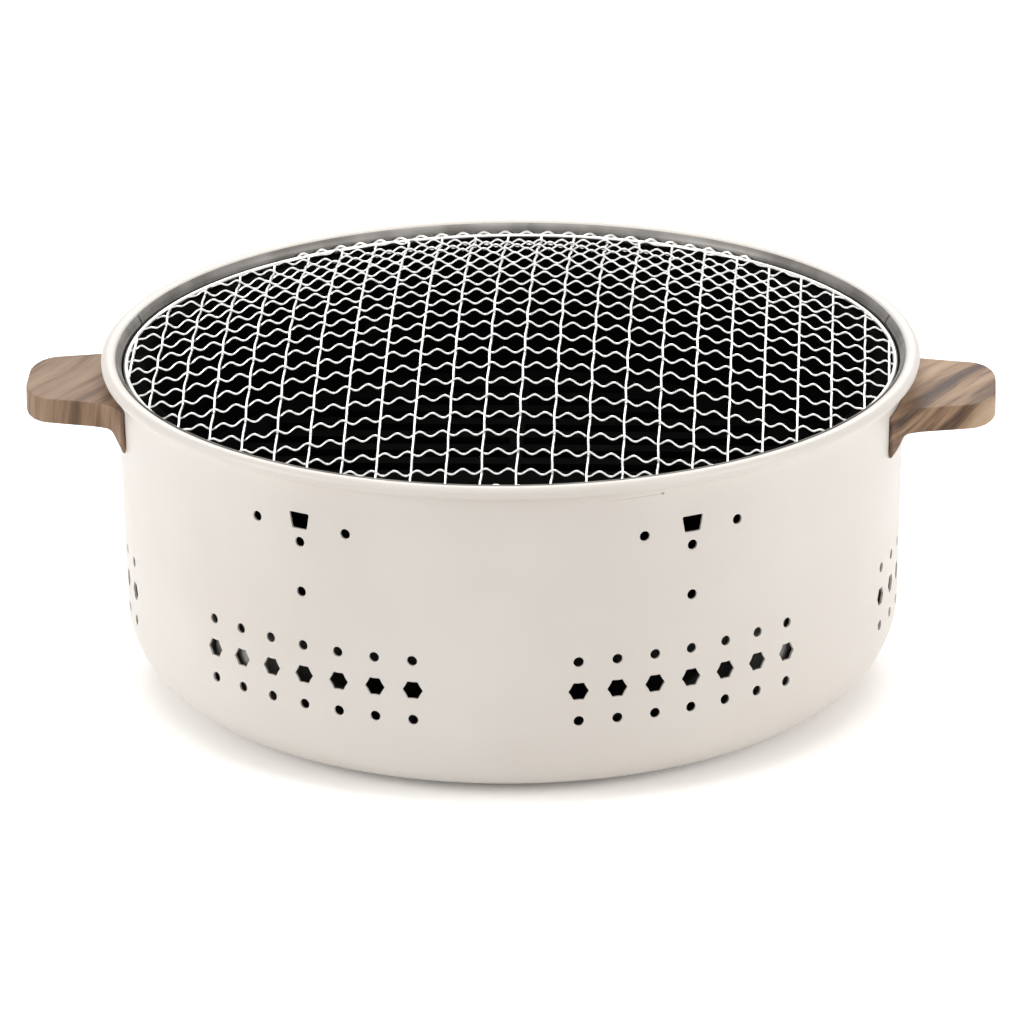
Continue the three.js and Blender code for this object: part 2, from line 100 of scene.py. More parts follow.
ring_low, ring_high = reach("net_ring")
NET_RING_WIRE = ring_high.z - ring_low.z
NET_RING_RADIUS = ring_high.x - NET_RING_WIRE / 2
NET_RING_HEIGHT = (ring_high.z + ring_low.z) / 2
NET_WIRE = 1.12
NET_CROWN = 168.9
NET_DOME_RADIUS = 543
COLUMN_PITCH = 14.839
COLUMN_PHASE = 0.539
COLUMN_TURN = 0.355
COLUMN_DOME_RADIUS = 514
ROW_PITCH = 14.591
ROW_PHASE = -0.366
ROW_TURN = 0.65
CRIMP_SWING = 1.12
CRIMP_LENGTH = 9.605
CRIMP_PHASE = -0.395
EDGE_WIRE_RADIUS = 164.5
EDGE_WIRE_WAVES = 1.35  # for each crimp of a row
EDGE_WIRE_SWING = 0.8  # of a row's swing
COLUMN_SWAY = 0.22
COLUMN_DIP = 0.35
BENT_ROW_RISE = 1.7  # of a row's swing

PAN_SHEET = 1.2
PAN_FLANGE_RADIUS = 168.5
PAN_MOUTH_RADIUS = 159.5
PAN_MOUTH_BEVEL = 2
PAN_BASE_RADIUS = 151
PAN_FLOOR = reach("charcoal_pan")[0].z
PAN_FLANGE_TOP = reach("charcoal_pan")[1].z
PAN_ROUND = 12
PAN_AIR_HOLES = 20
PAN_AIR_HOLE = {"radius": 4.5, "height": 79, "punch depth": 20}

BRACKETS = 4
BRACKET_TURN = 46.5
BRACKET_WIDTH = 21
BRACKET_SHEET = 1.5
BRACKET_TAB_END = 110
BRACKET_TOP_TAB = 6
BRACKET_HEEL = 1
BRACKET_PLAY = 1.8
BRACKET_LEAN = 2.2
FOOT = {"circle": 120, "radius": 8, "stem": 2.5, "barb": 4.2, "top": 9}

SHIELD = {"radius": 104, "thickness": 0.8, "height": 12}
SHIELD_FIXINGS = {"count": 3, "circle": 70, "rivet": 2, "spacer": 4.5, "head": 4, "head height": 1.4}

handle_low, handle_high = reach("handle_right")
HANDLE_TOP = handle_high.z
HANDLE_TIP = handle_low.z
HANDLE_THICKNESS = 11.1
HANDLE_UNDER = HANDLE_TOP - HANDLE_THICKNESS
HANDLE_REACH = handle_high.x
HANDLE_SIDE = {"root": 33.5, "at": 175, "slope": 0.22, "fillet end": 181}
HANDLE_CORNER = {"outwards": 13, "sideways": 21}
HANDLE_FLANGE = {"turn": 15.2, "thickness": 3.2, "tip": 1.0, "fillet": 3}
HANDLE_SCREW = {"turn": 6, "depth": 20.5, "shank": 2, "tip": 3, "end": 194, "head": 4, "head height": 2.2}
HANDLE_PLATE = {"turn": 9, "height": 11, "sheet": 1.5}
WOOD_SLANT = 62
ROOM_GLOW = 0.2


def wall_radius(height):
    return SHELL_RADIUS - SHELL_TAPER * (RIM_TOP - height)


def wall_inside(height):
    return wall_radius(height) - SHEET


# ---------------------------------------------------------------- node trees


class Value:
    """An output of a node. An expression on it adds the Math nodes that work the expression out."""

    def __init__(self, graph, socket):
        self.graph = graph
        self.socket = socket

    def output(self, name):
        """Another output of the same node."""
        return Value(self.graph, self.socket.node.outputs[name])

    def math(self, operation, *others):
        return self.graph.math(operation, self, *others)

    def __add__(self, other):
        return self.math("ADD", other)

    def __radd__(self, other):
        return self.graph.math("ADD", other, self)

    def __sub__(self, other):
        return self.math("SUBTRACT", other)

    def __rsub__(self, other):
        return self.graph.math("SUBTRACT", other, self)

    def __mul__(self, other):
        return self.math("MULTIPLY", other)

    def __rmul__(self, other):
        return self.graph.math("MULTIPLY", other, self)

    def __truediv__(self, other):
        return self.math("DIVIDE", other)

    def __rtruediv__(self, other):
        return self.graph.math("DIVIDE", other, self)

    def __neg__(self):
        return self.math("MULTIPLY", -1.0)


class Graph:
    """A node tree, and the one way in which nodes are added to it."""

    def __init__(self, tree):
        self.tree = tree

    def node(self, kind, settings=None, inputs=None, output=0):
        made = self.tree.nodes.new(kind)
        for name, setting in (settings or {}).items():
            if name == "stops":
                self.fill_ramp(made.color_ramp, setting)
            else:
                setattr(made, name, setting)
        for key, given in (inputs or {}).items():
            self.feed(made.inputs[key], given)
        return Value(self, made.outputs[output])

    def feed(self, socket, given):
        for one in given if isinstance(given, list) else [given]:
            if isinstance(one, Value):
                self.tree.links.new(one.socket, socket)
            else:
                socket.default_value = one

    @staticmethod
    def fill_ramp(ramp, stops):
        while len(ramp.elements) < len(stops):
            ramp.elements.new(0.5)
        for element, (place, colour) in zip(ramp.elements, stops):
            element.position = place
            element.color = colour

    def math(self, operation, *terms):
        return self.node("ShaderNodeMath", {"operation": operation}, dict(enumerate(terms)))

    def vector(self, x=0.0, y=0.0, z=0.0):
        return self.node("ShaderNodeCombineXYZ", inputs={"X": x, "Y": y, "Z": z})

    def parts(self, vector):
        split = self.node("ShaderNodeSeparateXYZ", inputs={"Vector": vector})
        return [split.output(axis) for axis in "XYZ"]

    def within(self, value, low, high, to_low=0.0, to_high=1.0):
        """Value carried smoothly from low..high to to_low..to_high, and held at the ends."""
        return self.node(
            "ShaderNodeMapRange",
            {"interpolation_type": "SMOOTHSTEP"},
            {"Value": value, "From Min": low, "From Max": high, "To Min": to_low, "To Max": to_high},
        )


class Recipe(Graph):
    """A Geometry Nodes tree with named inputs for its sizes and its material."""

    def __init__(self, name):
        super().__init__(bpy.data.node_groups.new(name, "GeometryNodeTree"))
        face = self.tree.interface
        face.new_socket(name="Geometry", in_out="INPUT", socket_type="NodeSocketGeometry")
        face.new_socket(name="Geometry", in_out="OUTPUT", socket_type="NodeSocketGeometry")
        face.new_socket(name="Material", in_out="INPUT", socket_type="NodeSocketMaterial")
        self.entry = self.tree.nodes.new("NodeGroupInput")
        self.base = Value(self, self.entry.outputs["Geometry"])

    def size(self, name):
        self.tree.interface.new_socket(name=name, in_out="INPUT", socket_type="NodeSocketFloat")
        return Value(self, self.entry.outputs[name])

    def end(self, *geometry):
        material = Value(self, self.entry.outputs["Material"])
        whole = self.real(self.join(*geometry))
        painted = self.node("GeometryNodeSetMaterial", inputs={"Geometry": whole, "Material": material})
        end = self.tree.nodes.new("NodeGroupOutput")
        self.tree.links.new(painted.socket, end.inputs["Geometry"])
        return self

    def join(self, *geometry):
        return self.node("GeometryNodeJoinGeometry", inputs={"Geometry": list(geometry)})

    def real(self, geometry):
        return self.node("GeometryNodeRealizeInstances", inputs={"Geometry": geometry})

    def index(self):
        return self.node("GeometryNodeInputIndex")

    def place(self):
        return self.parts(self.node("GeometryNodeInputPosition"))

    def on_wall(self, turn, radius, height):
        """Where a turn in radians, a radius and a height lie."""
        return self.vector(turn.math("SINE") * radius, -(turn.math("COSINE") * radius), height)

    def around(self, count, turn, radius, height, instance):
        """Copies of a piece that faces -Y, each turned to its place round the Z axis."""
        points = self.node(
            "GeometryNodePoints", inputs={"Count": count, "Position": self.on_wall(turn, radius, height)}
        )
        facing = self.node("FunctionNodeEulerToRotation", inputs={"Euler": self.vector(z=turn)})
        return self.node(
            "GeometryNodeInstanceOnPoints", inputs={"Points": points, "Instance": instance, "Rotation": facing}
        )

    def tube(self, path, section, caps=True):
        return self.node(
            "GeometryNodeCurveToMesh", inputs={"Curve": path, "Profile Curve": section, "Fill Caps": caps}
        )

    def circle(self, radius, sides):
        return self.node("GeometryNodeCurvePrimitiveCircle", inputs={"Resolution": sides, "Radius": radius})

    def cut(self, body, tools):
        return self.node(
            "GeometryNodeMeshBoolean",
            {"operation": "DIFFERENCE", "solver": "MANIFOLD"},
            {"Mesh 1": body, "Mesh 2": tools},
        )


def grow(recipe, name, material, mesh=None, **sizes):
    """Runs a recipe on a mesh and keeps its result as a plain mesh."""
    made = bpy.data.objects.new(name, mesh or bpy.data.meshes.new(name))
    bpy.context.scene.collection.objects.link(made)
    modifier = made.modifiers.new(recipe.tree.name, "NODES")
    modifier.node_group = recipe.tree
    given = {"Material": material, **{key.replace("_", " "): value for key, value in sizes.items()}}
    for item in recipe.tree.interface.items_tree:
        if item.in_out == "INPUT" and item.name in given:
            modifier[item.identifier] = given[item.name]
    evaluated = made.evaluated_get(bpy.context.evaluated_depsgraph_get())
    plain = bpy.data.meshes.new_from_object(evaluated)
    made.modifiers.remove(modifier)
    made.data = plain
    return made


# ---------------------------------------------------------------- meshes


def arc(x, y, radius, start, end, steps):
    """Points of an arc in an outline, its angles in degrees."""
    angles = [radians(start + (end - start) * i / steps) for i in range(steps + 1)]
    return [(x + radius * math.cos(a), y + radius * math.sin(a)) for a in angles]


def turned_mesh(name, outline, around, start=0.0, sweep=360.0):
    """An outline of (radius, height) in millimetres, turned round Z. It runs outwards and up: faces point out."""
    whole = sweep >= 360.0
    bm = bmesh.new()
    turns = [radians(start + sweep * i / around) for i in range(around if whole else around + 1)]
    rings = []
    for radius, height in outline:
        if radius < 1e-6:
            rings.append([bm.verts.new((0, 0, height * MM))] * len(turns))
            continue
        rings.append(
            [bm.verts.new(Vector((radius * math.sin(t), -radius * math.cos(t), height)) * MM) for t in turns]
        )
    closed = outline[0][0] > 1e-6
    pairs = list(zip(rings, rings[1:] + rings[:1] if closed else rings[1:]))
    for low, high in pairs:
        for i in range(around):
            j = (i + 1) % len(turns)
            corners = list(dict.fromkeys((low[i], low[j], high[j], high[i])))
            bm.faces.new(corners)
    if not whole:
        bm.faces.new([ring[0] for ring in rings])
        bm.faces.new([ring[-1] for ring in reversed(rings)])
    mesh = bpy.data.meshes.new(name)
    bm.to_mesh(mesh)
    bm.free()
    return mesh


def prism_mesh(name, outline, low, high):
    """An anticlockwise outline in X and Y, stood up between two heights."""
    bm = bmesh.new()
    floor = [bm.verts.new(Vector((x, y, low)) * MM) for x, y in outline]
    top = [bm.verts.new(Vector((x, y, high)) * MM) for x, y in outline]
    bm.faces.new(reversed(floor))
    bm.faces.new(top)
    for i in range(len(outline)):
        j = (i + 1) % len(outline)
        bm.faces.new((floor[i], floor[j], top[j], top[i]))
    mesh = bpy.data.meshes.new(name)
    bm.to_mesh(mesh)
    bm.free()
    return mesh


def piece(name, mesh, material):
    made = bpy.data.objects.new(name, mesh)
    bpy.context.scene.collection.objects.link(made)
    made.data.materials.clear()
    made.data.materials.append(material)
    return made


def smooth(made, crease=35):
    """Soft shading, with an edge kept sharp where the surface turns by more than crease degrees."""
    made.data.shade_smooth()
    made.data.set_sharp_from_angle(angle=radians(crease))
    return made


def settle(made, body, slot, *nodes):
    """Rides a finished piece on its body, in the place of CAD nodes."""
    smooth(made)
    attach(made, body)
    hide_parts(*nodes)
    return made


def applied(made, kind, **settings):
    """Runs one modifier on a piece and keeps the result as its mesh."""
    modifier = made.modifiers.new(kind.lower(), kind)
    for name, setting in settings.items():
        setattr(modifier, name, setting)
    evaluated = made.evaluated_get(bpy.context.evaluated_depsgraph_get())
    plain = bpy.data.meshes.new_from_object(evaluated)
    made.modifiers.remove(modifier)
    made.data = plain
    return made


# ---------------------------------------------------------------- finishes


def linear(red, green, blue):
    """A colour given in 0..255 as it shows on screen, for a shader's colour input."""
    return (*[((c / 255 + 0.055) / 1.055) ** 2.4 if c > 10 else c / 3294 for c in (red, green, blue)], 1.0)


class Finish(Graph):
    """A material on a Principled shader."""

    def __init__(self, name, **fixed):
        self.material = bpy.data.materials.new(name)
        self.material.use_nodes = True
        super().__init__(self.material.node_tree)
        self.shader = self.tree.nodes["Principled BSDF"]
        for socket, given in fixed.items():
            self.set(socket.replace("_", " "), given)

    def set(self, socket, given):
        self.feed(self.shader.inputs[socket], given)

    def spot(self):
        """The place on the object, in metres."""
        return self.node("ShaderNodeTexCoord", output="Object")

    def noise(self, scale, detail=2.0, roughness=0.5, at=None):
        """Even noise; scale is its grains in a metre."""
        inputs = {"Scale": scale, "Detail": detail, "Roughness": roughness, "Vector": at or self.spot()}
        return self.node("ShaderNodeTexNoise", {"noise_dimensions": "3D"}, inputs)

    def stretched(self, x, y, z, at=None):
        """The place, drawn out by a factor along each axis."""
        return self.node(
            "ShaderNodeVectorMath", {"operation": "MULTIPLY"}, {0: at or self.spot(), 1: (x, y, z)}
        )

    def mix(self, factor, first, second, way="MIX"):
        made = self.node(
            "ShaderNodeMix",
            {"data_type": "RGBA", "blend_type": way},
            {0: factor, 6: first, 7: second},
            output=2,
        )
        return made

    def bump(self, height, depth, strength=1.0):
        """Relief, its depth in metres."""
        self.set(
            "Normal",
            self.node("ShaderNodeBump", inputs={"Height": height, "Distance": depth, "Strength": strength}),
        )

def round_place(finish):
    """Turn round Z in radians and height in metres, for patterns that follow the wall."""
    x, y, z = finish.parts(finish.spot())
    return x.math("ARCTAN2", -y), z


def cream_paint():
    """Satin powder coat: fine orange peel, faint clouding, and one small mark with a hairline below the rim."""
    paint = Finish("cream_paint", IOR=1.5, Coat_Roughness=0.25)
    turn, height = round_place(paint)
    clouds = paint.noise(9.0, 3.0)
    tone = paint.mix(paint.within(clouds, 0.35, 0.65), linear(231, 225, 217), linear(227, 219, 210))
    aside = (turn - radians(WELD_MARK["turn"])) * SHELL_RADIUS * MM
    above = height - WELD_MARK["height"] * MM
    dot = 1.0 - paint.within((aside * aside * 0.5 + above * above).math("SQRT"), 0.0003, 0.0007)
    level = 1.0 - paint.within((above - aside * 0.03).math("ABSOLUTE"), 0.0001, 0.0003)
    hairline = level * paint.within(aside, -0.03, -0.012) * (1.0 - paint.within(aside, -0.001, 0.0)) * 0.25
    mark = dot * 0.8 + hairline
    paint.set("Base Color", paint.mix(mark, tone, linear(140, 130, 121)))
    paint.set("Roughness", 0.36 + paint.noise(60.0, 2.0) * 0.1)
    paint.set("Coat Weight", 0.12)
    paint.bump(paint.noise(650.0, 1.0) - mark * 2.0, 0.00002, 0.35)
    return paint.material


def liner_steel():
    """Rolled steel strip: drawing lines run round the mouth; broad upright bands across them, lighter and darker
    all round, are painted reflections.
    """
    steel = Finish("liner_steel", Metallic=1.0)
    turn, height = round_place(steel)
    lines = steel.noise(1.0, 3.0, 0.6, at=steel.vector(turn * 3.0, height * 2600.0))
    # Painted reflections: broad upright bands of lighter and darker grey in the base colour.
    bands = steel.noise(1.0, 2.0, 0.5, at=steel.vector(turn * 9.0, height * 12.0))
    steel.set("Base Color", steel.mix(steel.within(bands, 0.3, 0.7), linear(112, 109, 105), linear(140, 137, 133)))
    steel.set("Roughness", 0.42 + lines * 0.14)
    steel.bump(lines, 0.00001, 0.5)
    return steel.material


def net_wire():
    """Bright drawn wire with a nickel flash, a little duller in patches."""
    wire = Finish("net_wire", Metallic=1.0)
    patches = wire.noise(140.0, 2.0)
    wire.set("Base Color", wire.mix(patches, linear(240, 239, 236), linear(212, 210, 206)))
    wire.set("Roughness", 0.22 + wire.noise(420.0, 2.0) * 0.2)
    return wire.material


def plated_steel():
    """Dull zinc plate: soft mottling with fine lines from the rolling."""
    steel = Finish("plated_steel", Metallic=1.0)
    mottle = steel.noise(90.0, 3.0, 0.6)
    lines = steel.noise(1.0, 2.0, 0.5, at=steel.stretched(60.0, 900.0, 900.0))
    steel.set("Base Color", steel.mix(mottle, linear(104, 103, 101), linear(136, 135, 132)))
    steel.set("Roughness", 0.34 + mottle * 0.22)
    steel.bump(lines, 0.00001, 0.4)
    return steel.material


def black_enamel():
    """Black enamel dulled by soot, smoother patches showing through it."""
    enamel = Finish("black_enamel", IOR=1.05)
    soot = enamel.noise(38.0, 5.0, 0.6)
    thin = enamel.within(soot, 0.56, 0.68)
    enamel.set("Base Color", enamel.mix(thin, (0.003, 0.0029, 0.0028, 1), (0.006, 0.0058, 0.0055, 1)))
    enamel.set("Roughness", 0.92 - thin * 0.35)
    enamel.bump(enamel.noise(420.0, 3.0), 0.00006, 0.5)
    return enamel.material


def cast_iron():
    """Sand-cast iron: a grainy skin, blackened, a little grey where it is worn."""
    iron = Finish("cast_iron", IOR=1.05)
    skin = iron.noise(700.0, 4.0, 0.65)
    worn = iron.within(iron.noise(55.0, 3.0), 0.55, 0.75)
    iron.set("Base Color", iron.mix(worn, (0.003, 0.0029, 0.0028, 1), (0.006, 0.0058, 0.0055, 1)))
    iron.set("Roughness", 0.8 + skin * 0.15)
    iron.bump(skin, 0.00016, 0.8)
    return iron.material


def silicone():
    """Matt moulded silicone with a fine sparked texture."""
    rubber = Finish("silicone", Specular_IOR_Level=0.3)
    dust = rubber.noise(120.0, 3.0)
    rubber.set("Base Color", rubber.mix(dust, linear(38, 37, 35), linear(58, 57, 54)))
    rubber.set("Roughness", 0.7 + dust * 0.2)
    rubber.bump(rubber.noise(2400.0, 1.0), 0.00002, 0.5)
    return rubber.material


def walnut():
    """Oiled hardwood: upright growth layers run slantwise through both handles, with a few dark bands."""
    wood = Finish("walnut", Specular_IOR_Level=0.35)
    x, y, z = wood.parts(wood.spot())
    slant = radians(WOOD_SLANT)
    sway = (wood.noise(16.0, 2.0) - 0.5) * 0.012
    along = x * math.cos(slant) + y * math.sin(slant)
    across = y * math.cos(slant) - x * math.sin(slant) + z * wood.within(x, -0.1, 0.1, 0.05, 0.7) + sway
    grain = wood.vector(along * 9.0, across * 90.0, z * 12.0)
    bands = wood.noise(1.0, 3.0, 0.55, at=grain)
    fibres = wood.noise(1.0, 4.0, 0.7, at=wood.vector(along * 45.0, across * 900.0, z * 60.0))
    pores = wood.noise(1.0, 2.0, 0.6, at=wood.vector(along * 90.0, across * 2600.0, z * 140.0))
    tone = wood.node(
        "ShaderNodeValToRGB",
        {
            "stops": [
                (0.34, linear(70, 52, 41)),
                (0.43, linear(118, 90, 68)),
                (0.5, linear(160, 130, 103)),
                (0.64, linear(186, 158, 130)),
            ]
        },
        {"Fac": bands + (fibres - 0.5) * 0.22},
    )
    tone = wood.mix(wood.within(pores, 0.58, 0.72) * 0.45, tone, linear(78, 58, 45))
    # The left handle is cut from darker wood.
    wood.set("Base Color", wood.mix(wood.within(x, -0.1, 0.1, 0.35, 0.0), tone, linear(104, 81, 62)))
    wood.set("Roughness", 0.5 + fibres * 0.2)
    wood.bump(fibres * 0.6 - pores * 0.4, 0.00012, 0.5)
    return wood.material


def floor_paper():
    """Pale ground, white as the camera or a gloss sees it, that keeps the shadow."""
    ground = Finish("floor_paper", Roughness=1.0, Specular_IOR_Level=0.0)
    path = ground.node("ShaderNodeLightPath")
    seen = path.output("Is Camera Ray").math("MAXIMUM", path.output("Is Glossy Ray"))
    seen = seen.math("MAXIMUM", path.output("Is Transmission Ray"))
    ground.set("Base Color", ground.mix(seen, (0.95, 0.95, 0.95, 1), (1.6, 1.6, 1.6, 1)))
    return ground.material


CREAM_PAINT = cream_paint()
LINER_STEEL = liner_steel()
NET_STEEL = net_wire()
PLATED_STEEL = plated_steel()
BLACK_ENAMEL = black_enamel()
CAST_IRON = cast_iron()
SILICONE = silicone()
WALNUT = walnut()


# ---------------------------------------------------------------- shell


def shell_outline():
    """Up the outside from the middle of the floor, over the rolled rim and down the inside."""
    round_top = SHELL_FLOOR + BOTTOM_ROUND
    round_centre = wall_radius(round_top) - BOTTOM_ROUND
    neck = RIM_TOP - RIM_BEND
    under_rim = RIM_TOP - 2 * BEAD_RADIUS
    wall = wall_radius(under_rim)
    bend_centre = wall_inside(neck) + RIM_BEND
    return [
        (0, SHELL_FLOOR),
        (round_centre * 0.5, SHELL_FLOOR),
        *arc(round_centre, round_top, BOTTOM_ROUND, -90, 0, 24),
        *arc(wall + BEAD_FILLET, under_rim - BEAD_FILLET, BEAD_FILLET, 180, 90, 4),
        *arc(RIM_RADIUS - BEAD_RADIUS, under_rim + BEAD_RADIUS, BEAD_RADIUS, -90, 90, 16),
        *arc(bend_centre, neck, RIM_BEND, 90, 180, 14),
        *arc(round_centre, round_top, BOTTOM_ROUND - SHEET, 0, -90, 24),
        (round_centre * 0.5, SHELL_FLOOR + SHEET),
        (0, SHELL_FLOOR + SHEET),
    ]


def punched_wall():
    """Air holes through the wall: rows of round and six-pointed holes, and a slot with holes round it above."""
    recipe = Recipe("punched_wall")
    columns = recipe.size("Columns")
    step = recipe.size("Column step")
    side_turn = recipe.size("Side turn")
    group_step = recipe.size("Group step")
    radius = recipe.size("Wall radius")
    depth = recipe.size("Punch depth")
    path = recipe.node(
        "GeometryNodeCurvePrimitiveLine",
        inputs={"Start": recipe.vector(y=depth / 2), "End": recipe.vector(y=depth / -2)},
    )
    round_section = recipe.circle(recipe.size("Air hole radius"), 24)
    star = recipe.node(
        "GeometryNodeCurveStar",
        inputs={
            "Points": 6,
            "Inner Radius": recipe.size("Star waist radius"),
            "Outer Radius": recipe.size("Star tip radius"),
        },
    )
    blunt = recipe.node(
        "GeometryNodeFilletCurve",
        {"mode": "POLY"},
        {"Curve": star, "Count": 3, "Radius": recipe.size("Star blunting")},
    )
    slot = recipe.node(
        "GeometryNodeCurvePrimitiveQuadrilateral",
        {"mode": "TRAPEZOID"},
        {
            "Height": recipe.size("Slot height"),
            "Bottom Width": recipe.size("Slot foot"),
            "Top Width": recipe.size("Slot head"),
            "Offset": 0.0,
        },
    )
    soft_slot = recipe.node(
        "GeometryNodeFilletCurve",
        {"mode": "POLY"},
        {"Curve": slot, "Count": 3, "Radius": recipe.size("Slot rounding")},
    )
    index = recipe.index()

    def middle(group):
        """Turn of a group's middle: three groups to a side, the middle one under the handle."""
        side = (group / 3).math("FLOOR")
        return side_turn + side * math.pi + (group - side * 3 - 1.0) * group_step

    group = ((index + 0.5) / columns).math("FLOOR")
    turn = middle(group) + step * (index - group * columns - (columns - 1) / 2)
    tools = [
        recipe.around(columns * 6, turn, radius, recipe.size(row), recipe.tube(path, section))
        for row, section in (("Upper row", round_section), ("Star row", blunt), ("Lower row", round_section))
    ]
    punch = recipe.tube(path, round_section)
    tools.append(recipe.around(6, middle(index), radius, recipe.size("Lone hole"), punch))
    # A handle covers the middle group's crest on each side.
    side = (index / 2).math("FLOOR")
    crest = side_turn + side * math.pi + ((index - side * 2) * 2 - 1.0) * group_step
    beside = recipe.size("Side hole turn")
    side_row = recipe.size("Side holes")
    tools.append(recipe.around(4, crest, radius, recipe.size("Slot row"), recipe.tube(path, soft_slot)))
    tools.append(recipe.around(4, crest, radius, recipe.size("Hole under slot"), punch))
    tools.append(recipe.around(4, crest + beside, radius, side_row, punch))
    tools.append(recipe.around(4, crest - beside, radius, side_row, punch))
    return recipe.end(recipe.cut(recipe.base, recipe.real(recipe.join(*tools))))


def make_shell():
    sheet = turned_mesh("outer_shell", shell_outline(), SHELL_AROUND)
    shell = grow(
        punched_wall(),
        "shell",
        CREAM_PAINT,
        sheet,
        Columns=float(HOLE_COLUMNS),
        Column_step=radians(COLUMN_STEP),
        Side_turn=radians(SIDE_TURN),
        Group_step=radians(GROUP_STEP),
        Wall_radius=wall_radius(RIM_TOP / 2) * MM,
        Punch_depth=PUNCH_DEPTH * MM,
        Air_hole_radius=AIR_HOLE_RADIUS * MM,
        Star_waist_radius=STAR_WAIST_RADIUS * MM,
        Star_tip_radius=STAR_TIP_RADIUS * MM,
        Star_blunting=0.5 * MM,
        # The slot's outline hangs head down on the wall.
        Slot_height=CREST_SLOT["height"] * MM,
        Slot_foot=CREST_SLOT["top"] * MM,
        Slot_head=CREST_SLOT["bottom"] * MM,
        Slot_rounding=0.7 * MM,
        Upper_row=(RIM_TOP - ROW_DEPTHS["upper"]) * MM,
        Star_row=(RIM_TOP - ROW_DEPTHS["star"]) * MM,
        Lower_row=(RIM_TOP - ROW_DEPTHS["lower"]) * MM,
        Lone_hole=(RIM_TOP - LOWER_HOLE_DEPTH) * MM,
        Slot_row=(RIM_TOP - CREST_SLOT["depth"]) * MM,
        Hole_under_slot=(RIM_TOP - CREST_HOLE_DEPTH) * MM,
        Side_hole_turn=radians(SIDE_HOLE_TURN),
        Side_holes=(RIM_TOP - SIDE_HOLE_DEPTH) * MM,
    )
    settle(shell, "shell", "cream_paint", "outer_shell")


make_shell()

# ---------------------------------------------------------------- mouth liner


def make_liners():
    """Two half rings whose lip follows the bend into the rim."""
    neck = RIM_TOP - RIM_BEND
    foot = RIM_TOP - LINER_HEIGHT
    bend_centre = wall_inside(neck) + RIM_BEND
    outer = RIM_BEND + GAP
    lip = 180 - LINER_LIP_TURN
    outline = [
        (wall_inside(foot) - GAP, foot),
        *arc(bend_centre, neck, outer, 180, lip, 10),
        *arc(bend_centre, neck, outer + LINER_SHEET, lip, 180, 10),
        (wall_inside(foot) - GAP - LINER_SHEET, foot),
    ]
    right, left = LINER_JOINTS["right"], LINER_JOINTS["left"]
    halves = {"liner_front": (left - 360, right), "liner_rear": (right, left)}
    for name, (start, end) in halves.items():
        start, end = start + LINER_JOINT_GAP / 2, end - LINER_JOINT_GAP / 2
        mesh = turned_mesh(name, outline, 180, start, end - start)
        settle(piece(name.replace("liner_", "liner_half_"), mesh, LINER_STEEL), "shell", "liner_steel", name)


make_liners()

# ---------------------------------------------------------------- net


